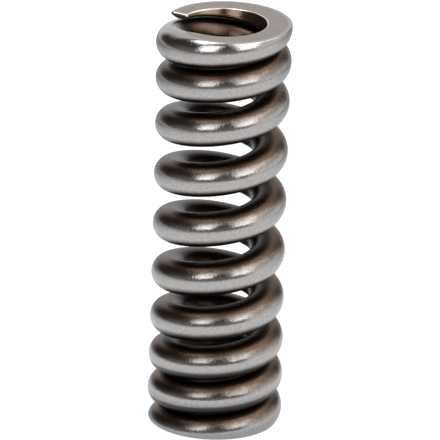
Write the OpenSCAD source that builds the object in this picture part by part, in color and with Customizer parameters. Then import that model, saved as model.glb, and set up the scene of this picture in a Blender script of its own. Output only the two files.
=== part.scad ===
// Helical compression spring, wound right-hand from round wire, with closed and ground ends.
// It stands on its lower ground end: the origin is the centre of that end, on the coil's axis, and +Z is up.

/* [Wire] */
// Diameter of the wire
wire_d = 3.2; // [2:0.05:3.8]

/* [Coil] */
// Outside diameter of the open turns
coil_od = 12.4; // [10:0.1:20]
// Free length between the two ground ends
free_length = 39; // [36:0.1:60]
// Turns of wire, counted from tip to tip
total_turns = 10.1; // [8.5:0.05:11]
// Direction of the wire's lower tip, seen from above, in degrees from +X
lower_tip_angle = 115; // [0:1:359]

/* [Lower end] */
// Closed turns before the pitch starts to open
lower_closed_turns = 1.25; // [0.8:0.05:2.5]
// Turns over which the pitch opens to its full value
lower_easing_turns = 4; // [1:0.1:5]

/* [Upper end] */
// Closed turns after the pitch has eased down
upper_closed_turns = 1.15; // [0.8:0.05:2.5]
// Turns over which the full pitch eases down
upper_easing_turns = 1.85; // [1:0.05:3.5]

/* [Form of the ends] */
// Gap left between closed turns
closed_gap = 0.08; // [0.02:0.01:0.3]
// Thickness of wire left at each tip after grinding
tip_thickness = 0.55; // [0.3:0.05:1.2]
// How much further from the axis the closed turns lie than the open ones
end_flare = 0.09; // [0:0.01:0.3]

/* [Smoothness] */
// Cross-sections in each turn of the wire
sections_per_turn = 28; // [20:1:28]
// Sides of each cross-section
wire_sides = 20; // [12:2:20]

/* [Hidden] */

wire_r = wire_d / 2;
coil_r = coil_od / 2 - wire_r;

// Rise in each closed turn that keeps the gap, measured square to the wire
closed_pitch = (wire_d + closed_gap) / cos(asin((wire_d + closed_gap) / (2 * PI * coil_r)));

// The centre line starts below the lower grinding plane and ends above the upper one,
// by as much as grinding takes off beyond the middle of the wire
tip_sink = wire_r - tip_thickness;
total_rise = free_length + 2 * tip_sink;

// Places along the wire, in turns from the lower tip, where the pitch starts to open and to ease down
opening_start = lower_closed_turns;
easing_start = total_turns - upper_closed_turns - upper_easing_turns;

// Number of fully open turns that the open part of the coil is worth, each easing counted at half
open_turns = easing_start + upper_easing_turns / 2 - opening_start - lower_easing_turns / 2;

// Rise in each fully open turn, so that the coil comes out at its free length
open_pitch = closed_pitch + (total_rise - closed_pitch * total_turns) / open_turns;

// A smooth step from 0 to 1, and the area under it
function smooth_step(u) = u <= 0 ? 0 : u >= 1 ? 1 : u * u * (3 - 2 * u);
function smooth_step_area(u) = u <= 0 ? 0 : u >= 1 ? u - 1 / 2 : pow(u, 3) - pow(u, 4) / 2;

// How open the coil is at a place along the wire: 0 in the closed turns, 1 in the open ones
function openness(turns) =
    smooth_step((turns - opening_start) / lower_easing_turns)
    - smooth_step((turns - easing_start) / upper_easing_turns);

// Openness summed along the wire
function summed_openness(turns) =
    lower_easing_turns * smooth_step_area((turns - opening_start) / lower_easing_turns)
    - upper_easing_turns * smooth_step_area((turns - easing_start) / upper_easing_turns);

// The centre line: its pitch, its height and its distance from the axis
function pitch(turns) = closed_pitch + (open_pitch - closed_pitch) * openness(turns);
function height(turns) =
    closed_pitch * turns + (open_pitch - closed_pitch) * summed_openness(turns) - tip_sink;
function radius(turns) = coil_r + end_flare * (1 - openness(turns));

// One cross-section of the wire: a circle square to the centre line
function section(turns) =
    let (
        around = lower_tip_angle + 360 * turns,
        slope = atan2(pitch(turns), 2 * PI * radius(turns))
    )
    [
        for (side = [0 : wire_sides - 1])
            let (
                angle = 360 * side / wire_sides,
                out = radius(turns) + wire_r * cos(angle),
                up = height(turns) + wire_r * sin(angle) * cos(slope),
                back = wire_r * sin(angle) * sin(slope)
            )
            [out * cos(around) + back * sin(around), out * sin(around) - back * cos(around), up]
    ];

// The wire as it is wound, before grinding: cross-sections joined by triangles, with a flat cap on each tip
module wound_wire() {
    last = ceil(total_turns * sections_per_turn);
    points = [for (i = [0 : last]) each section(total_turns * i / last)];
    skin = [
        for (i = [0 : last - 1], side = [0 : wire_sides - 1])
            let (
                here = i * wire_sides + side,
                beside = i * wire_sides + (side + 1) % wire_sides,
                ahead = here + wire_sides,
                ahead_beside = beside + wire_sides
            )
            each [[here, ahead_beside, ahead], [here, beside, ahead_beside]]
    ];
    lower_cap = [for (side = [wire_sides - 1 : -1 : 0]) side];
    upper_cap = [for (side = [0 : wire_sides - 1]) last * wire_sides + side];
    polyhedron(points = points, faces = concat(skin, [lower_cap, upper_cap]), convexity = 12);
}

// The space between the two grinding planes
module between_grinding_planes() {
    translate([-coil_od, -coil_od, 0])
        cube([2 * coil_od, 2 * coil_od, free_length]);
}

module coil_spring() {
    color("silver")
        intersection() {
            wound_wire();
            between_grinding_planes();
        }
}

coil_spring();
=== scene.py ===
"""Compression spring with closed and ground ends, wound from shot-peened spring-steel wire.

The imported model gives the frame. The coil is wound again here by the same rule, with finer sections, rounded
edges on its ground ends and a chamfer inside each of them, and gets its finish. A small plain studio stands
around it.
"""

import math

import bpy
import numpy as np
from mathutils import Matrix, Vector


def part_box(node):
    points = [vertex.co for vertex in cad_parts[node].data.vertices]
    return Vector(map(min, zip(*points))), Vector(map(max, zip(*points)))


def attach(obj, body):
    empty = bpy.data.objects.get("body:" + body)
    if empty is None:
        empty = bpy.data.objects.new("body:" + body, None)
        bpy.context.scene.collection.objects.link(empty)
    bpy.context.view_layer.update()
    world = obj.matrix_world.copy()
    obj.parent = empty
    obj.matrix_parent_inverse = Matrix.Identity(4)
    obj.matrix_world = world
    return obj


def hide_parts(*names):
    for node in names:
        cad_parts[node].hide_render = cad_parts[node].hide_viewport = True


bl_info = {
    "name": "Ground-end compression spring",
    "version": (1, 0, 0),
    "blender": (4, 5, 0),
    "location": "View3D > Sidebar > Spring",
    "description": "Winds a shot-peened compression spring with ground ends and lights it in a plain studio",
    "category": "Add Mesh",
}

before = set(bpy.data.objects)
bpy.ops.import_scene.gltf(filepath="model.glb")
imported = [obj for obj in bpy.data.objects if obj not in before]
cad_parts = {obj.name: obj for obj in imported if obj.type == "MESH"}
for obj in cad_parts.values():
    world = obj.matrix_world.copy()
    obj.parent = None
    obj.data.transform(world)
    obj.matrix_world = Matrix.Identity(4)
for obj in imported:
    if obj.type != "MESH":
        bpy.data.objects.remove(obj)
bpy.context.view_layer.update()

CAD_NODE = "coil_spring"
BODY = "root"
CAD_LOW, CAD_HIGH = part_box(CAD_NODE)
MILLIMETRE = 0.001

# Attributes of the coil's mesh that its finish reads: where the film and its painted shade lie, and how grey
# they are
FILM_AND_SHADE = "film"
GREY_FILM_AND_SHADE = "grey_film"

# Numbers of the coil's materials, in the order in which they go on its mesh
WIRE, GROUND, CHAMFER, CUT_TIP, GLINT_RIM = range(5)


def linear(hex_colour):
    """The linear red, green and blue of an sRGB hex colour."""
    channels = [int(hex_colour[i:i + 2], 16) / 255 for i in (1, 3, 5)]
    return tuple(c / 12.92 if c <= 0.04045 else ((c + 0.055) / 1.055) ** 2.4 for c in channels)


# Sizes and colours that a user would change

class CoilSizes(bpy.types.PropertyGroup):
    """The coil's driving sizes, as in the part's own source, and those of its chamfers and edges."""

    wire_diameter: bpy.props.FloatProperty(
        name="Wire diameter", description="Diameter of the round wire",
        default=3.2 * MILLIMETRE, unit="LENGTH", precision=5)
    outside_diameter: bpy.props.FloatProperty(
        name="Outside diameter", description="Outside diameter of the open turns",
        default=12.4 * MILLIMETRE, unit="LENGTH", precision=5)
    free_length: bpy.props.FloatProperty(
        name="Free length", description="Length between the two ground ends",
        default=CAD_HIGH.z - CAD_LOW.z, unit="LENGTH", precision=5)
    turns: bpy.props.FloatProperty(
        name="Turns", description="Turns of wire from tip to tip", default=10.1)
    lower_tip_angle: bpy.props.FloatProperty(
        name="Lower tip angle", description="Direction of the wire's lower tip, from +X",
        default=math.radians(115), subtype="ANGLE")
    lower_closed_turns: bpy.props.FloatProperty(
        name="Lower closed turns", description="Closed turns before the pitch opens", default=1.25)
    lower_easing_turns: bpy.props.FloatProperty(
        name="Lower easing turns", description="Turns over which the pitch opens", default=4.0)
    upper_closed_turns: bpy.props.FloatProperty(
        name="Upper closed turns", description="Closed turns after the pitch has eased down", default=1.15)
    upper_easing_turns: bpy.props.FloatProperty(
        name="Upper easing turns", description="Turns over which the pitch eases down", default=1.85)
    closed_gap: bpy.props.FloatProperty(
        name="Closed gap", description="Gap between closed turns",
        default=0.08 * MILLIMETRE, unit="LENGTH", precision=5)
    tip_thickness: bpy.props.FloatProperty(
        name="Tip thickness", description="Wire left at each tip after grinding",
        default=0.55 * MILLIMETRE, unit="LENGTH", precision=5)
    end_flare: bpy.props.FloatProperty(
        name="End flare", description="How much wider in radius the closed turns are",
        default=0.09 * MILLIMETRE, unit="LENGTH", precision=5)
    chamfer_width: bpy.props.FloatProperty(
        name="Chamfer width", description="How much the inside chamfer opens the bore, on each side",
        default=0.9 * MILLIMETRE, unit="LENGTH", precision=5)
    chamfer_angle: bpy.props.FloatProperty(
        name="Chamfer angle", description="Angle between the inside chamfer and the coil's axis",
        default=math.radians(30), subtype="ANGLE")
    edge_radius: bpy.props.FloatProperty(
        name="Edge radius", description="Rounding of the ground edges after deburring",
        default=0.14 * MILLIMETRE, unit="LENGTH", precision=5)


class SteelFinish(bpy.types.PropertyGroup):
    """Colours and roughness of the steel, with the painted shade of its film and the painted glint of its
    rims.
    """

    wire_colour: bpy.props.FloatVectorProperty(
        name="Wire", description="Peened wire where it is clean, as it reflects white",
        default=linear("#B7B2AD"), subtype="COLOR", min=0, max=1)
    # The film's brown: a tint of oxide and old oil, made dark enough to paint the shade in the gaps between
    # the coils
    film_and_shade_colour: bpy.props.FloatVectorProperty(
        name="Brown film", description="Oxide and old oil in the gaps between the coils",
        default=linear("#5B4839"), subtype="COLOR", min=0, max=1)
    # The film's grey: painted shade, the dark reflection that the wire's lower and inner sides catch
    grey_film_and_shade_colour: bpy.props.FloatVectorProperty(
        name="Grey film", description="The same on the wire's lower and inner sides, which stayed grey",
        default=linear("#4C4A49"), subtype="COLOR", min=0, max=1)
    ground_colour: bpy.props.FloatVectorProperty(
        name="Ground ends", description="Steel laid bare by the grinding wheel",
        default=linear("#A69C96"), subtype="COLOR", min=0, max=1)
    chamfer_colour: bpy.props.FloatVectorProperty(
        name="Chamfers", description="Steel of the inside chamfers, tinted by the heat of grinding",
        default=linear("#78654F"), subtype="COLOR", min=0, max=1)
    tip_colour: bpy.props.FloatVectorProperty(
        name="Cropped tips", description="End faces of the wire",
        default=linear("#4A3F37"), subtype="COLOR", min=0, max=1)
    # A painted highlight: the rims are near white, brighter than any steel, so that their edges glint
    glint_rim_colour: bpy.props.FloatVectorProperty(
        name="Rims", description="Edges of the ground ends at their chamfers and tips, burnished bright",
        default=linear("#F2EBE4"), subtype="COLOR", min=0, max=1)
    wire_roughness: bpy.props.FloatProperty(
        name="Wire roughness", description="Roughness between the dimples", default=0.165, min=0, max=1)
    ground_roughness: bpy.props.FloatProperty(
        name="Ground roughness", description="Roughness of the ground ends", default=0.42, min=0, max=1)
    film_roughness: bpy.props.FloatProperty(
        name="Film roughness", description="Roughness of the film", default=0.26, min=0, max=1)
    chamfer_roughness: bpy.props.FloatProperty(
        name="Chamfer roughness", description="Roughness of the inside chamfers", default=0.22, min=0, max=1)


class StudioSettings(bpy.types.PropertyGroup):
    """Where the camera stands, and the studio's tones."""

    camera_elevation: bpy.props.FloatProperty(
        name="Camera elevation", description="Height of the camera above the horizon",
        default=math.radians(20.5), subtype="ANGLE")
    camera_roll: bpy.props.FloatProperty(
        name="Camera roll", description="Turn of the camera about its own line of sight",
        default=math.radians(1.58), subtype="ANGLE")
    camera_distance: bpy.props.FloatProperty(
        name="Camera distance", description="From the middle of the spring to the camera",
        default=0.76, unit="LENGTH")
    field_width: bpy.props.FloatProperty(
        name="Field width", description="Width that the picture covers at the spring",
        default=40.91 * MILLIMETRE, unit="LENGTH", precision=5)
    aim_right: bpy.props.FloatProperty(
        name="Aim to the right", description="How far right of the spring's middle the camera aims",
        default=0.07 * MILLIMETRE, unit="LENGTH", precision=5)
    aim_up: bpy.props.FloatProperty(
        name="Aim up", description="How far above the spring's middle the camera aims",
        default=0.04 * MILLIMETRE, unit="LENGTH", precision=5)


# The wire's centre line

def smooth_step(u):
    """A smooth step from 0 to 1: three u squared less two u cubed."""
    u = np.clip(u, 0, 1)
    return u * u * (3 - 2 * u)


def fade(value, first, last):
    """A smooth step from 0 to 1 as the value goes from first to last."""
    return smooth_step((value - first) / (last - first))


def smooth_step_area(u):
    """The area under the smooth step: u cubed less half u to the fourth, and then a straight rise."""
    inside = np.clip(u, 0, 1)
    return inside ** 3 - inside ** 4 / 2 + np.maximum(u - 1, 0)


def centre_line(turns, sizes):
    """Height, distance from the axis, pitch and openness of the wire's centre line, at places given in turns.

    The pitch is the closed one plus an extra share that steps smoothly up after the lower closed turns and
    down before the upper ones. The height is that pitch summed along the wire.
    """
    wire_r = sizes.wire_diameter / 2
    coil_r = sizes.outside_diameter / 2 - wire_r
    step_up = (turns - sizes.lower_closed_turns) / sizes.lower_easing_turns
    easing_start = sizes.turns - sizes.upper_closed_turns - sizes.upper_easing_turns
    step_down = (turns - easing_start) / sizes.upper_easing_turns
    openness = smooth_step(step_up) - smooth_step(step_down)
    summed = (sizes.lower_easing_turns * smooth_step_area(step_up)
              - sizes.upper_easing_turns * smooth_step_area(step_down))

    spacing = sizes.wire_diameter + sizes.closed_gap
    closed_pitch = spacing / math.cos(math.asin(spacing / (2 * math.pi * coil_r)))
    tip_sink = wire_r - sizes.tip_thickness
    total_rise = sizes.free_length + 2 * tip_sink
    open_turns = (easing_start + sizes.upper_easing_turns / 2
                  - sizes.lower_closed_turns - sizes.lower_easing_turns / 2)
    extra_pitch = (total_rise - closed_pitch * sizes.turns) / open_turns

    height = closed_pitch * turns + extra_pitch * summed - tip_sink
    radius = coil_r + sizes.end_flare * (1 - openness)
    pitch = closed_pitch + extra_pitch * openness
    return height, radius, pitch, openness


# The coil's surface

# Rows in each turn of the wire, columns along each stretch of its outline, and rows that round off each tip
ROWS_PER_TURN = 112
OUTER_STEPS = 30
INNER_STEPS = 10
CHORD_STEPS = 8
CHAMFER_STEPS = 6
TIP_STEPS = 5

# Points, angles and shares closer than this are taken as one
TINY = 1e-8


def arc_points(normals, first, last, first_line, last_line):
    """An arc of the outline and the corners at its ends, at the given normal angles.

    A normal between first and last has its point on the unit circle at the same angle. One beyond them has
    the arc's end, and is flat by its share of the way to the normal of the line that cuts the circle there.
    """
    psi = normals[None, :]
    first, last, first_line, last_line = (a[:, None] for a in (first, last, first_line, last_line))
    theta = np.clip(psi, first, np.maximum(first, last))
    before = (theta - psi) / np.maximum(theta - first_line, TINY)
    after = (psi - theta) / np.maximum(last_line - theta, TINY)
    return np.stack([np.cos(theta), np.sin(theta), psi + 0 * theta, np.clip(before + after, 0, 1)])


def outline_columns(ends, chamfer):
    """Where each column of the outline stands, as base point, normal angle and flatness, and its material.

    The outline is that of a unit disc cut by four straight lines: the two grinding planes, whose normals
    point up and down, and the two chamfers, whose normals point inward and up or down. ends holds each line's
    distance from the middle, one a row, as upper plane, upper chamfer, lower chamfer and lower plane. A line
    at distance d cuts off the arc within arccos d of its normal. Every column keeps its normal angle along
    the whole wire, so a line that misses the disc leaves its columns at one point. Where a plane and a
    chamfer cut off everything between them, they meet at the crossing of both lines.
    """
    half_turn = math.pi
    lines = np.array([half_turn / 2, half_turn - chamfer, half_turn + chamfer, 1.5 * half_turn])
    reach = np.arccos(np.clip(ends, -1, 1))
    met = reach > 0
    begin, end = lines[:, None] - reach, lines[:, None] + reach
    low_out, high_out = end[3] - 2 * half_turn, begin[0]
    normal = [np.full_like(end[0], line) for line in lines]

    inner_first = np.where(met[1], end[1], end[0])
    inner_first_line = np.where(met[1], normal[1], normal[0])
    inner_last = np.where(met[2], begin[2], begin[3])
    inner_last_line = np.where(met[2], normal[2], normal[3])

    outer = arc_points(
        np.linspace(-half_turn / 2, half_turn / 2, OUTER_STEPS + 1),
        low_out, high_out, normal[3] - 2 * half_turn, normal[0])
    above = arc_points(
        np.linspace(lines[0], lines[1], INNER_STEPS + 1),
        end[0], np.where(met[1], begin[1], inner_last),
        normal[0], np.where(met[1], normal[1], inner_last_line))
    inner = arc_points(
        np.linspace(lines[1], lines[2], INNER_STEPS + 1),
        inner_first, inner_last, inner_first_line, inner_last_line)
    below = arc_points(
        np.linspace(lines[2], lines[3], INNER_STEPS + 1),
        np.where(met[2], end[2], inner_first), begin[3],
        np.where(met[2], normal[2], inner_first_line), normal[3])

    def meet(columns, one, other, joined):
        """Puts the columns of the joined rows at the crossing of two of the lines."""
        turn = math.sin(lines[other] - lines[one])
        x = (ends[one] * math.sin(lines[other]) - ends[other] * math.sin(lines[one])) / turn
        y = (ends[other] * math.cos(lines[one]) - ends[one] * math.cos(lines[other])) / turn
        columns[0] = np.where(joined[:, None], x[:, None], columns[0])
        columns[1] = np.where(joined[:, None], y[:, None], columns[1])
        columns[3] = np.where(joined[:, None], 1, columns[3])

    meet(above, 0, 1, met[1] & (end[0] > begin[1]))
    meet(below, 2, 3, met[2] & (end[2] > begin[3]))

    def line_points(start, stop, steps):
        """Points along a straight line, between the last column of one arc and the first of the next."""
        f = (np.arange(1, steps) / steps)[None, :]
        points = start[:, :, -1:] * (1 - f) + stop[:, :, :1] * f
        points[2] = start[2, :, -1:]
        points[3] = 1
        return points

    parts = [
        outer, line_points(outer, above, CHORD_STEPS), above, line_points(above, inner, CHAMFER_STEPS),
        inner, line_points(inner, below, CHAMFER_STEPS), below, line_points(below, outer, CHORD_STEPS)]
    # The rims' columns take a material whose near-white colour paints a glint
    materials = [
        (OUTER_STEPS, WIRE), (CHORD_STEPS, GROUND), (INNER_STEPS, GLINT_RIM), (CHAMFER_STEPS, CHAMFER),
        (INNER_STEPS, WIRE), (CHAMFER_STEPS, CHAMFER), (INNER_STEPS, GLINT_RIM), (CHORD_STEPS, GROUND)]
    kinds = np.concatenate([np.full(count, kind) for count, kind in materials])
    return np.concatenate(parts, axis=2), kinds


# Where the film and its painted shade fade in on the wire, in degrees off the wire's outward direction: on its
# upper side and on its lower side, in the open turns and in the closed ones, and inside the coil, with the
# most that lies there
FILM_ABOVE, FILM_ABOVE_CLOSED = (8, 56), (0, 52)
FILM_BELOW, FILM_BELOW_CLOSED = (14, 46), (6, 24)
FILM_INSIDE = (90, 130)
MOST_FILM_INSIDE = 0.95

# Turns from the upper tip where the film and its painted shade fade out above, and from the lower tip where
# they fade in below
CLEAN_ABOVE = (1.15, 0.95)
CLEAN_BELOW = (0.85, 1.05)

# How grey the film and its painted shade are: under the open turns, the sine of the angle below the outward
# direction where that is reached, where grey fades in inside the coil, and the most that is grey there
GREY_UNDER_OPEN = 0.5
GREY_BELOW_SINE = 0.35
GREY_INSIDE = (65, 110)
MOST_GREY_INSIDE = 0.75


def film_and_shade_share(angle, turns, openness, sizes):
    """How much film and painted shade cover the wire, and how grey they are, both from 0 to 1.

    The film lies where a neighbouring turn shields the wire and darkens it there: painted shade in the gaps
    between the turns, over a real tint of oxide and old oil. It fades in with the angle off the outward
    direction, over a range that shifts evenly with openness. Below, only the lower closed turns have the
    closed range. The last turn's upper side and the first turn's lower side have no neighbour and are clean.
    The film is brown above, grey below, and mostly grey inside but for the upper closed turns; the grey
    paints the dark reflection that those sides catch.
    """
    off_outward = np.abs((np.degrees(angle) + 180) % 360 - 180)
    closed = 1 - openness
    closed_low = closed * (turns < sizes.turns / 2)
    closed_high = closed - closed_low

    def shielded(open_fade, closed_fade, closed_share):
        """The fade between the open turns' range and the closed turns' one."""
        first, last = (a + (b - a) * closed_share for a, b in zip(open_fade, closed_fade))
        return fade(off_outward, first, last)

    upward = (np.sin(angle) > 0) * (1 - fade(sizes.turns - turns, *CLEAN_ABOVE))
    downward = (np.sin(angle) < 0) * fade(turns, *CLEAN_BELOW)
    outside = (upward * shielded(FILM_ABOVE, FILM_ABOVE_CLOSED, closed)
               + downward * shielded(FILM_BELOW, FILM_BELOW_CLOSED, closed_low))
    share = np.maximum(outside, MOST_FILM_INSIDE * fade(off_outward, *FILM_INSIDE))
    grey_below = (1 - (1 - GREY_UNDER_OPEN) * openness) * smooth_step(-np.sin(angle) / GREY_BELOW_SINE)
    grey_inside = MOST_GREY_INSIDE * (1 - closed_high) * fade(off_outward, *GREY_INSIDE)
    return share, np.maximum(grey_below, grey_inside)


def coil_surface(sizes):
    """Points, normals, flatness, film and painted-shade shares of the wire's surface, row by row along it, and
    column materials.

    Each row is the outline of a disc, cut by the grinding planes and chamfers and with its corners rounded,
    set square to the centre line. A rounded outline is a smaller base outline plus the edge radius along its
    normal. At each tip the last rows draw that offset in along a quarter circle, which rounds the edge of the
    cut end. A chamfer's line stands off the wire's middle by the middle's distance outside the chamfer's
    mouth times the cosine of its angle, plus the middle's depth below the ground face times the sine.
    """
    wire_r, edge = sizes.wire_diameter / 2, sizes.edge_radius
    coil_r = sizes.outside_diameter / 2 - wire_r
    row_count = round(sizes.turns * ROWS_PER_TURN) + 1
    rounding = np.arange(TIP_STEPS + 1) / TIP_STEPS * math.pi / 2
    tip_back = edge * (1 - np.sin(rounding)) / (2 * math.pi * coil_r)
    turns = np.concatenate([
        tip_back[::-1],
        np.linspace(tip_back[0], sizes.turns - tip_back[0], row_count)[1:-1],
        sizes.turns - tip_back,
    ])
    lean = np.concatenate([-rounding[::-1], np.zeros(row_count - 2), rounding])[:, None]

    height, radius, pitch, openness = (a[:, None] for a in centre_line(turns, sizes))
    around = (sizes.lower_tip_angle + 2 * math.pi * turns)[:, None]
    slope = np.arctan2(pitch, 2 * math.pi * radius)
    base_r = wire_r - edge
    depth = sizes.free_length - height
    outside_mouth = radius - (coil_r + sizes.end_flare - wire_r + sizes.chamfer_width)
    cosine, sine = math.cos(sizes.chamfer_angle), math.sin(sizes.chamfer_angle)
    distances = np.stack([
        depth / np.cos(slope), outside_mouth * cosine + depth * sine,
        outside_mouth * cosine + height * sine, height / np.cos(slope)])
    (x, y, normal, flat), kinds = outline_columns((distances[..., 0] - edge) / base_r, sizes.chamfer_angle)

    offset = edge * np.cos(lean)
    out = radius + base_r * x + offset * np.cos(normal)
    up = base_r * y + offset * np.sin(normal)
    back = up * np.sin(slope)
    points = np.stack([
        out * np.cos(around) + back * np.sin(around),
        out * np.sin(around) - back * np.cos(around),
        height + up * np.cos(slope),
    ], axis=-1)

    tilt = slope * (1 - flat)
    normal_out, normal_up = np.cos(lean) * np.cos(normal), np.cos(lean) * np.sin(normal)
    along = np.sin(lean) * np.cos(slope) - normal_up * np.sin(tilt)
    normals = np.stack([
        normal_out * np.cos(around) - along * np.sin(around),
        normal_out * np.sin(around) + along * np.cos(around),
        normal_up * np.cos(tilt) + np.sin(lean) * np.sin(slope),
    ], axis=-1)
    normals /= np.linalg.norm(normals, axis=-1, keepdims=True)
    # How much film and painted shade lie on each point, and how grey they are
    film_and_shade_shares = film_and_shade_share(normal, turns[:, None], openness, sizes)
    return points, normals, flat, film_and_shade_shares, kinds


def grid_faces(points, flat, kinds):
    """Faces of the closed tube, their materials, and the points that they use.

    A column that coincides with the one before it takes that one's number. A four-sided face with one such
    pair is a triangle, and one with two is left out. A face whose corners are all flat takes its column's
    material, and any other is wire. Where the ground faces round off into the tips they take the rims'
    material, with its painted glint. Each tip is closed by one flat face.
    """
    rows, columns = points.shape[:2]
    gap = np.linalg.norm(points[:, 1:] - points[:, :-1], axis=-1)
    first = np.where(gap < TINY, 0, np.arange(1, columns)[None, :])
    first = np.concatenate([np.zeros((rows, 1), int), first], axis=1)
    number = np.maximum.accumulate(first, axis=1) + np.arange(rows)[:, None] * columns
    wrapped = (np.linalg.norm(points[:, 0] - points[:, -1], axis=-1) < TINY)[:, None]
    number = np.where(wrapped & (number == number[:, -1:]), number[:, :1], number)
    used, number = np.unique(number, return_inverse=True)
    number = number.reshape(rows, columns)
    here, ahead = number[:-1], number[1:]
    corners = np.stack([here, ahead, np.roll(ahead, -1, 1), np.roll(here, -1, 1)], axis=-1).reshape(-1, 4)
    full = flat > 1 - TINY
    quarters = np.stack([full[:-1], np.roll(full, -1, 1)[:-1], np.roll(full, -1, 1)[1:], full[1:]])
    material = np.where(quarters.all(axis=0), kinds[None, :], WIRE)
    # The tips' rounded ground faces take the rims' painted glint
    for tip in (material[:TIP_STEPS], material[-TIP_STEPS:]):
        tip[tip != WIRE] = GLINT_RIM
    material = material.reshape(-1)

    near_closed = corners[:, 0] == corners[:, 3]
    far_closed = corners[:, 1] == corners[:, 2]
    whole = ~near_closed & ~far_closed
    faces = corners[whole].tolist()
    faces += corners[near_closed & ~far_closed][:, [0, 1, 2]].tolist()
    faces += corners[~near_closed & far_closed][:, [0, 1, 3]].tolist()
    marks = np.concatenate([
        material[whole], material[near_closed & ~far_closed], material[~near_closed & far_closed],
        [CUT_TIP, CUT_TIP]])
    faces.append(np.unique(number[0]).tolist())
    faces.append(np.unique(number[-1])[::-1].tolist())
    return faces, marks, used


def coil_mesh(sizes):
    """The coil as one closed mesh, with its exact normals."""
    points, normals, flat, film_and_shade_shares, kinds = coil_surface(sizes)
    faces, marks, used = grid_faces(points, flat, kinds)
    mesh = bpy.data.meshes.new(CAD_NODE)
    mesh.from_pydata(points.reshape(-1, 3)[used].tolist(), [], faces)
    mesh.polygons.foreach_set("material_index", marks.astype(np.int32))
    mesh.polygons.foreach_set("use_smooth", np.ones(len(faces), bool))
    # Store the shares of film and painted shade for the finish
    for name, share in zip((FILM_AND_SHADE, GREY_FILM_AND_SHADE), film_and_shade_shares):
        attribute = mesh.attributes.new(name, "FLOAT", "POINT")
        attribute.data.foreach_set("value", share.reshape(-1)[used].astype(np.float32))
    mesh.normals_split_custom_set_from_vertices(normals.reshape(-1, 3)[used].tolist())
    mesh.update()
    return mesh


# Materials

# Sizes of the patterns of peened wire: dimples, at their real size; the grain between them, drawn coarser
# than real grain so that it shows; and patches in the film's edge
DIMPLE_SIZE, DIMPLE_DEPTH = 0.2 * MILLIMETRE, 0.008 * MILLIMETRE
GRAIN_SIZE, GRAIN_DEPTH = 0.14 * MILLIMETRE, 0.024 * MILLIMETRE
FILM_PATCH_SIZE = 0.9 * MILLIMETRE

# How far the patches shift the film's edge, the shares of film between which its colour comes in, how dark
# and how bright the grain makes the steel, and how much of the relief is left where the wire is clean
FILM_SHIFT = 0.25
FILM_SHOWS = (0.1, 0.9)
WIRE_SPECKLE = (0.84, 1.14)
CLEAN_RELIEF = 0.45

# The same for bare steel: scratches, with their heading and the share of the pattern's scale left along them;
# grain; and patches that are duller or brighter by this much roughness
SCRATCH_SPACING, SCRATCH_DEPTH = 0.1 * MILLIMETRE, 0.006 * MILLIMETRE
SCRATCH_HEADING = math.radians(24)
SCRATCH_STRETCH = 0.12
BARE_GRAIN_SIZE = 0.16 * MILLIMETRE
DULL_PATCH_SIZE = 1.2 * MILLIMETRE
DULLER = 0.05

# A noise texture's values lie mostly between these
NOISE_LOW, NOISE_HIGH = 0.3, 0.7

# The kinds of bare steel, from GROUND on: name, the settings that hold its colour and its roughness, and how
# far a fine grain lightens and darkens it
BARE_KINDS = [
    ("ground_spring_steel", "ground_colour", "ground_roughness", 0.2),
    ("chamfered_spring_steel", "chamfer_colour", "chamfer_roughness", 0.12),
    ("cropped_spring_steel", "tip_colour", "ground_roughness", 0.3),
    # The rims: a near-white colour that paints a glint on their edges
    ("burnished_spring_steel", "glint_rim_colour", "wire_roughness", 0.05),
]


def add_node(tree, kind, settings=None, inputs=None):
    """Adds a node, sets its properties, and sets or links its inputs, which go by name or by number.

    A link is given as the socket that it comes from.
    """
    node = tree.nodes.new(kind)
    for name, value in (settings or {}).items():
        setattr(node, name, value)
    for name, value in (inputs or {}).items():
        if isinstance(value, bpy.types.NodeSocket):
            tree.links.new(value, node.inputs[name])
        else:
            node.inputs[name].default_value = value
    return node


def rgba(colour):
    """A colour with full alpha, for a node's socket."""
    return (*colour, 1.0)


def new_material(name):
    """An empty node material and its output node."""
    material = bpy.data.materials.new(name)
    material.use_nodes = True
    tree = material.node_tree
    tree.nodes.clear()
    return material, tree, tree.nodes.new("ShaderNodeOutputMaterial")


def scale_for(size):
    """The texture scale at which one cell or wave of a pattern measures the given size in metres."""
    return 1 / size


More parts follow.
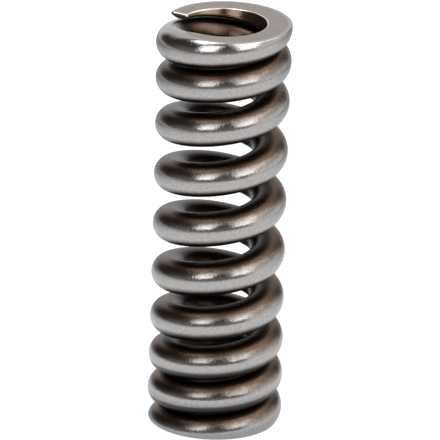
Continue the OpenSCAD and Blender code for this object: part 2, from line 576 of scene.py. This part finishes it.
def peened_steel(finish):
    """Shot-peened spring-steel wire.

    Peening leaves shallow round dimples of 0.1 to 0.3 mm, which break up each highlight into specks. The
    wire's outward side is clean grey steel. Where a neighbouring turn shields it lies a dark film with an
    uneven edge: painted shade, over a real brown tint of oxide and old oil above, and grey below and mostly
    grey inside, where it paints the dark reflection that those sides catch. It turns the gaps between the
    coils nearly black.
    """
    material, tree, output = new_material("shot_peened_spring_steel")
    place = add_node(tree, "ShaderNodeTexCoord").outputs["Object"]
    # How much film and painted shade lie here, and how grey they are
    share = add_node(tree, "ShaderNodeAttribute", {"attribute_name": FILM_AND_SHADE}).outputs["Fac"]
    grey = add_node(tree, "ShaderNodeAttribute", {"attribute_name": GREY_FILM_AND_SHADE}).outputs["Fac"]

    patches = add_node(tree, "ShaderNodeTexNoise", None, {
        "Vector": place, "Scale": scale_for(FILM_PATCH_SIZE), "Detail": 6.0, "Roughness": 0.7})
    unevenness = add_node(tree, "ShaderNodeMath", {"operation": "MULTIPLY_ADD"}, {
        0: patches.outputs["Fac"], 1: 2 * FILM_SHIFT, 2: -FILM_SHIFT})
    uneven_share = add_node(tree, "ShaderNodeMath", {"operation": "ADD"}, {
        0: share, 1: unevenness.outputs["Value"]})
    # The film's share with its uneven edge; it darkens the colour below as painted shade
    film = add_node(tree, "ShaderNodeMapRange", None, {
        "Value": uneven_share.outputs["Value"],
        "From Min": FILM_SHOWS[0], "From Max": FILM_SHOWS[1]}).outputs["Result"]
    # The film's colour, brown above and grey below, mixed over the clean steel as painted shade
    film_and_shade_colour = add_node(tree, "ShaderNodeMix", {"data_type": "RGBA"}, {
        "Factor": grey, "A": rgba(finish.film_and_shade_colour), "B": rgba(finish.grey_film_and_shade_colour)})
    colour = add_node(tree, "ShaderNodeMix", {"data_type": "RGBA"}, {
        "Factor": film, "A": rgba(finish.wire_colour), "B": film_and_shade_colour.outputs["Result"]})

    grain = add_node(tree, "ShaderNodeTexNoise", None, {
        "Vector": place, "Scale": scale_for(GRAIN_SIZE), "Detail": 2.0}).outputs["Fac"]
    speckle = add_node(tree, "ShaderNodeMapRange", None, {
        "Value": grain, "From Min": NOISE_LOW, "From Max": NOISE_HIGH,
        "To Min": WIRE_SPECKLE[0], "To Max": WIRE_SPECKLE[1]})
    speckled = add_node(tree, "ShaderNodeVectorMath", {"operation": "SCALE"}, {
        "Vector": colour.outputs["Result"], "Scale": speckle.outputs["Result"]})
    roughness = add_node(tree, "ShaderNodeMapRange", None, {
        "Value": film, "To Min": finish.wire_roughness, "To Max": finish.film_roughness})

    relief = add_node(tree, "ShaderNodeMapRange", None, {
        "Value": film, "To Min": CLEAN_RELIEF, "To Max": 1.0}).outputs["Result"]
    dimples = add_node(tree, "ShaderNodeTexVoronoi", {"feature": "SMOOTH_F1"}, {
        "Vector": place, "Scale": scale_for(DIMPLE_SIZE), "Smoothness": 0.8})
    peening = add_node(tree, "ShaderNodeBump", None, {
        "Height": dimples.outputs["Distance"], "Strength": relief, "Distance": DIMPLE_DEPTH})
    fine = add_node(tree, "ShaderNodeBump", None, {
        "Height": grain, "Strength": relief, "Distance": GRAIN_DEPTH,
        "Normal": peening.outputs["Normal"]})

    shader = add_node(tree, "ShaderNodeBsdfPrincipled", None, {
        "Base Color": speckled.outputs["Vector"], "Metallic": 1.0,
        "Roughness": roughness.outputs["Result"], "Normal": fine.outputs["Normal"]})
    tree.links.new(shader.outputs["BSDF"], output.inputs["Surface"])
    return material


def bare_steel(name, steel_colour, steel_roughness, mottle):
    """Spring steel laid bare by a wheel or a cropping tool.

    The wheel leaves fine scratches in one direction and a matt grey. Real scratches are about 0.02 mm apart;
    they are drawn 0.1 mm apart, so that they show. mottle is how far a fine grain lightens and darkens the
    colour.
    """
    material, tree, output = new_material(name)
    place = add_node(tree, "ShaderNodeTexCoord").outputs["Object"]
    grain = add_node(tree, "ShaderNodeTexNoise", None, {
        "Vector": place, "Scale": scale_for(BARE_GRAIN_SIZE), "Detail": 3.0, "Roughness": 0.7})
    speckle = add_node(tree, "ShaderNodeMapRange", None, {
        "Value": grain.outputs["Fac"], "From Min": NOISE_LOW, "From Max": NOISE_HIGH,
        "To Min": 1 - mottle, "To Max": 1 + mottle})
    colour = add_node(tree, "ShaderNodeVectorMath", {"operation": "SCALE"}, {
        "Vector": tuple(steel_colour), "Scale": speckle.outputs["Result"]})
    patches = add_node(tree, "ShaderNodeTexNoise", None, {
        "Vector": place, "Scale": scale_for(DULL_PATCH_SIZE), "Detail": 3.0})
    roughness = add_node(tree, "ShaderNodeMapRange", None, {
        "Value": patches.outputs["Fac"], "From Min": NOISE_LOW, "From Max": NOISE_HIGH,
        "To Min": steel_roughness - DULLER, "To Max": steel_roughness + DULLER})

    stretched = add_node(tree, "ShaderNodeMapping", None, {
        "Vector": place, "Rotation": (0, 0, SCRATCH_HEADING), "Scale": (SCRATCH_STRETCH, 1.0, 1.0)})
    scratches = add_node(tree, "ShaderNodeTexNoise", None, {
        "Vector": stretched.outputs["Vector"], "Scale": scale_for(SCRATCH_SPACING), "Detail": 3.0})
    bump = add_node(tree, "ShaderNodeBump", None, {
        "Height": scratches.outputs["Fac"], "Strength": 1.0, "Distance": SCRATCH_DEPTH})

    shader = add_node(tree, "ShaderNodeBsdfPrincipled", None, {
        "Base Color": colour.outputs["Vector"], "Metallic": 1.0,
        "Roughness": roughness.outputs["Result"], "Normal": bump.outputs["Normal"]})
    tree.links.new(shader.outputs["BSDF"], output.inputs["Surface"])
    return material


# The studio

# Half the table's side, and how far its top lies below the spring, so that the two don't share a plane
TABLE_HALF = 270 * MILLIMETRE
TABLE_DROP = 0.02 * MILLIMETRE

# The table's own glow, as the camera sees it and as the steel does
TABLE_IN_CAMERA = 0.75
TABLE_IN_STEEL = 1.06

# How reflections see that glow fall off: to the left, from this far out down to this share at the edge; to
# the back, down to this share this far out; and towards the spring's foot, down to this share, between these
# distances from it
LEFT_FROM, LEFT_SHARE = 30 * MILLIMETRE, 0.55
BACK_TO, BACK_SHARE = 110 * MILLIMETRE, 0.4
SHADE_SHARE, SHADE_FROM, SHADE_TO = 0.68, 7 * MILLIMETRE, 18 * MILLIMETRE

# The camera's sensor, in millimetres as Blender takes it, and the nearest and farthest that it sees
SENSOR_WIDTH = 36.0
NEAREST, FARTHEST = 0.05, 20

COOL_WHITE = linear("#F4F9FF")
LAMINATE_WHITE = linear("#C0C0C0")
DARK_ROOM = linear("#403D3A")

# The least width of a soft edge in the room, as a cosine or a sine
LEAST_EDGE = 0.001

# Each lamp: name, azimuth from the camera's side (towards +X is positive), elevation, distance, width, height
# and glow
LAMPS = [
    ("left_window", -32, 35, 0.25, 0.12, 0.16, 2.7),
    ("right_window", 38.5, 39.5, 0.25, 0.15, 0.235, 2.3),
    ("right_softbox", 88, 50, 0.6, 0.48, 0.36, 1.6),
    ("left_softbox", -86, 69, 0.6, 0.30, 0.28, 3.2),
]

# Each part of the room that only reflections show: azimuth of its middle, half its width, softness of its
# sides, lowest and highest elevation, softness of its bottom and top, and its colour
ROOM_PARTS = [
    (0, 95, 30, -90, 22, 1, 24, linear("#7C7874")),
    (0, 180, 1, -90, -1, 1, 3, linear("#C4C4C4")),
    (180, 115, 30, -90, 1, 1, 4, linear("#C4C4C4")),
    (0, 180, 1, 58, 90, 14, 1, linear("#B8B6B4")),
    (90, 38, 24, -3, 52, 4, 10, linear("#F4F4F4")),
    (180, 31, 14, -8, 36, 6, 20, linear("#E8E8E8")),
    (180, 48, 20, 30, 90, 20, 1, linear("#EDEDED")),
]


def direction(azimuth, elevation):
    """The unit vector at an azimuth from the camera's side and an elevation, both in degrees."""
    a, e = math.radians(azimuth), math.radians(elevation)
    return Vector((math.sin(a) * math.cos(e), -math.cos(a) * math.cos(e), math.sin(e)))


def add_lamp(name, azimuth, elevation, distance, width, height, glow, target):
    """A rectangular soft lamp that faces the target.

    Its power gives the radiance asked for: power is glow, times pi, times its area.
    """
    data = bpy.data.lights.new(name, "AREA")
    data.shape = "RECTANGLE"
    data.size, data.size_y = width, height
    data.energy = glow * math.pi * width * height
    data.color = COOL_WHITE
    lamp = bpy.data.objects.new(name, data)
    bpy.context.scene.collection.objects.link(lamp)
    towards = direction(azimuth, elevation)
    lamp.location = target + towards * distance
    lamp.rotation_euler = towards.to_track_quat("Z", "Y").to_euler()
    lamp.visible_camera = False
    return lamp


def floor_material():
    """A plain pale table top, of matt white laminate.

    The camera sees it near white, with the spring's shadow on it. Reflections see it dimmer towards the left
    and the back, away from the windows, and close round the spring, in its shade.
    """
    material, tree, output = new_material("white_table_top")
    place = add_node(tree, "ShaderNodeTexCoord").outputs["Object"]
    along = add_node(tree, "ShaderNodeSeparateXYZ", None, {"Vector": place})
    off_axis = add_node(tree, "ShaderNodeVectorMath", {"operation": "LENGTH"}, {"Vector": place})
    lit_left = add_node(tree, "ShaderNodeMapRange", None, {
        "Value": along.outputs["X"], "From Min": -TABLE_HALF, "From Max": -LEFT_FROM,
        "To Min": LEFT_SHARE, "To Max": 1.0})
    lit_back = add_node(tree, "ShaderNodeMapRange", None, {
        "Value": along.outputs["Y"], "From Min": 0.0, "From Max": BACK_TO,
        "To Min": TABLE_IN_STEEL, "To Max": BACK_SHARE * TABLE_IN_STEEL})
    clear = add_node(tree, "ShaderNodeMapRange", None, {
        "Value": off_axis.outputs["Value"], "From Min": SHADE_FROM, "From Max": SHADE_TO,
        "To Min": SHADE_SHARE, "To Max": 1.0})
    lit = add_node(tree, "ShaderNodeMath", {"operation": "MULTIPLY"}, {
        0: lit_left.outputs["Result"], 1: lit_back.outputs["Result"]})
    in_steel = add_node(tree, "ShaderNodeMath", {"operation": "MULTIPLY"}, {
        0: lit.outputs["Value"], 1: clear.outputs["Result"]})

    laminate = add_node(tree, "ShaderNodeBsdfDiffuse", None, {"Color": rgba(LAMINATE_WHITE)})
    in_camera = add_node(tree, "ShaderNodeEmission", None, {
        "Color": rgba(COOL_WHITE), "Strength": TABLE_IN_CAMERA})
    lifted = add_node(tree, "ShaderNodeAddShader", None, {
        0: laminate.outputs["BSDF"], 1: in_camera.outputs["Emission"]})
    reflected = add_node(tree, "ShaderNodeEmission", None, {
        "Color": rgba(COOL_WHITE), "Strength": in_steel.outputs["Value"]})
    path = add_node(tree, "ShaderNodeLightPath")
    for_camera = add_node(tree, "ShaderNodeMixShader", None, {
        0: path.outputs["Is Camera Ray"], 1: laminate.outputs["BSDF"], 2: lifted.outputs["Shader"]})
    for_steel = add_node(tree, "ShaderNodeMixShader", None, {
        0: path.outputs["Is Glossy Ray"], 1: for_camera.outputs["Shader"], 2: reflected.outputs["Emission"]})
    tree.links.new(for_steel.outputs["Shader"], output.inputs["Surface"])
    return material


def part_share(
        tree, flat_heading, height,
        azimuth, half_width, side_softness, lowest, highest, bottom_softness, top_softness):
    """How much of a part of the room a heading sees.

    It is the product of three smooth steps: one of the cosine of the heading's azimuth off the part's middle,
    and two of the sine of its elevation, up from the part's bottom and down from its top.
    """
    def sine(degrees):
        return math.sin(math.radians(max(-90, min(90, degrees))))

    off_middle = add_node(tree, "ShaderNodeVectorMath", {"operation": "DOT_PRODUCT"}, {
        0: flat_heading, 1: direction(azimuth, 0)}).outputs["Value"]
    side_outer = math.cos(math.radians(min(half_width + side_softness / 2, 180)))
    side_inner = math.cos(math.radians(half_width - side_softness / 2))
    steps = [
        (off_middle, side_outer - LEAST_EDGE, side_inner),
        (height, sine(lowest - bottom_softness / 2), sine(lowest + bottom_softness / 2)),
        (height, sine(highest + top_softness / 2) + LEAST_EDGE, sine(highest - top_softness / 2)),
    ]
    share = 1.0
    for value, none_seen, all_seen in steps:
        step = add_node(tree, "ShaderNodeMapRange", {"interpolation_type": "SMOOTHSTEP"}, {
            "Value": value, "From Min": none_seen, "From Max": all_seen})
        share = add_node(tree, "ShaderNodeMath", {"operation": "MULTIPLY"}, {
            0: share, 1: step.outputs["Result"]}).outputs["Value"]
    return share


def make_world():
    """The room that the spring stands in.

    It is plain white where the camera looks. For the steel's reflections it is a dark room, paler low down in
    front, with a grey ceiling, a white wall at the right and a white backdrop behind the spring.
    """
    world = bpy.data.worlds.new("plain_studio")
    world.use_nodes = True
    tree = world.node_tree
    tree.nodes.clear()
    output = tree.nodes.new("ShaderNodeOutputWorld")
    heading = add_node(tree, "ShaderNodeTexCoord").outputs["Generated"]
    height = add_node(tree, "ShaderNodeSeparateXYZ", None, {"Vector": heading}).outputs["Z"]
    level = add_node(tree, "ShaderNodeVectorMath", {"operation": "MULTIPLY"}, {0: heading, 1: (1, 1, 0)})
    flat_heading = add_node(tree, "ShaderNodeVectorMath", {"operation": "NORMALIZE"}, {
        0: level.outputs["Vector"]}).outputs["Vector"]
    colour = rgba(DARK_ROOM)
    for *place, part_colour in ROOM_PARTS:
        share = part_share(tree, flat_heading, height, *place)
        colour = add_node(tree, "ShaderNodeMix", {"data_type": "RGBA"}, {
            "Factor": share, "A": colour, "B": rgba(part_colour)}).outputs["Result"]
    path = add_node(tree, "ShaderNodeLightPath")
    seen = add_node(tree, "ShaderNodeMix", {"data_type": "RGBA"}, {
        "Factor": path.outputs["Is Camera Ray"], "A": colour, "B": rgba((1, 1, 1))})
    background = add_node(tree, "ShaderNodeBackground", None, {
        "Color": seen.outputs["Result"], "Strength": 1.0})
    tree.links.new(background.outputs["Background"], output.inputs["Surface"])
    bpy.context.scene.world = world


def add_camera(studio, target):
    """A camera on the photograph's line of sight, rolled about it.

    The lens is sensor width, times distance, over the width that the picture covers at the spring.
    """
    data = bpy.data.cameras.new("camera")
    data.sensor_width = SENSOR_WIDTH
    data.lens = SENSOR_WIDTH * studio.camera_distance / studio.field_width
    data.clip_start, data.clip_end = NEAREST, FARTHEST
    camera = bpy.data.objects.new("camera", data)
    bpy.context.scene.collection.objects.link(camera)
    backwards = direction(0, math.degrees(studio.camera_elevation))
    right = Vector((1, 0, 0))
    up = backwards.cross(right)
    roll = studio.camera_roll
    rolled_right = right * math.cos(roll) + up * math.sin(roll)
    rolled_up = up * math.cos(roll) - right * math.sin(roll)
    aim = target + rolled_right * studio.aim_right + rolled_up * studio.aim_up
    axes = Matrix((rolled_right, rolled_up, backwards)).transposed().to_4x4()
    camera.matrix_world = Matrix.Translation(aim + backwards * studio.camera_distance) @ axes
    bpy.context.scene.camera = camera


# Operators

class SPRING_OT_wind_coil(bpy.types.Operator):
    """Wind the coil, grind its ends and give it its finish"""

    bl_idname = "spring.wind_coil"
    bl_label = "Wind the coil"

    def execute(self, context):
        scene = context.scene
        mesh = coil_mesh(scene.coil_sizes)
        coil = bpy.data.objects.new("wound_coil", mesh)
        scene.collection.objects.link(coil)
        finish = scene.steel_finish
        mesh.materials.append(peened_steel(finish))
        for name, colour, roughness, mottle in BARE_KINDS:
            steel = bare_steel(name, getattr(finish, colour), getattr(finish, roughness), mottle)
            mesh.materials.append(steel)
        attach(coil, BODY)
        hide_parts(CAD_NODE)
        return {"FINISHED"}


class SPRING_OT_set_stage(bpy.types.Operator):
    """Lay the table, hang the lamps and set the camera"""

    bl_idname = "spring.set_stage"
    bl_label = "Set the stage"

    def execute(self, context):
        scene = context.scene
        middle = Vector((0, 0, (CAD_LOW.z + CAD_HIGH.z) / 2))
        mesh = bpy.data.meshes.new("table")
        h, z = TABLE_HALF, -TABLE_DROP
        mesh.from_pydata([(-h, -h, z), (h, -h, z), (h, h, z), (-h, h, z)], [], [(0, 1, 2, 3)])
        table = bpy.data.objects.new("table", mesh)
        scene.collection.objects.link(table)
        mesh.materials.append(floor_material())
        for lamp in LAMPS:
            add_lamp(*lamp, middle)
        make_world()
        add_camera(scene.studio, middle)
        scene.view_settings.view_transform = "Standard"
        return {"FINISHED"}


class SPRING_PT_sidebar(bpy.types.Panel):
    """Lists the spring's operators and sizes"""

    bl_idname = "SPRING_PT_sidebar"
    bl_label = "Compression spring"
    bl_space_type = "VIEW_3D"
    bl_region_type = "UI"
    bl_category = "Spring"

    def draw(self, context):
        layout = self.layout
        layout.operator(SPRING_OT_wind_coil.bl_idname)
        layout.operator(SPRING_OT_set_stage.bl_idname)
        for group in (context.scene.coil_sizes, context.scene.steel_finish, context.scene.studio):
            box = layout.box()
            for name in group.bl_rna.properties.keys():
                if name not in ("rna_type", "name"):
                    box.prop(group, name)


CLASSES = (
    CoilSizes, SteelFinish, StudioSettings, SPRING_OT_wind_coil, SPRING_OT_set_stage, SPRING_PT_sidebar)


def register():
    for cls in CLASSES:
        bpy.utils.register_class(cls)
    bpy.types.Scene.coil_sizes = bpy.props.PointerProperty(type=CoilSizes)
    bpy.types.Scene.steel_finish = bpy.props.PointerProperty(type=SteelFinish)
    bpy.types.Scene.studio = bpy.props.PointerProperty(type=StudioSettings)


def unregister():
    del bpy.types.Scene.studio
    del bpy.types.Scene.steel_finish
    del bpy.types.Scene.coil_sizes
    for cls in reversed(CLASSES):
        bpy.utils.unregister_class(cls)


def main():
    """Builds everything in order."""
    register()
    bpy.ops.spring.wind_coil()
    bpy.ops.spring.set_stage()


if __name__ == "__main__":
    main()
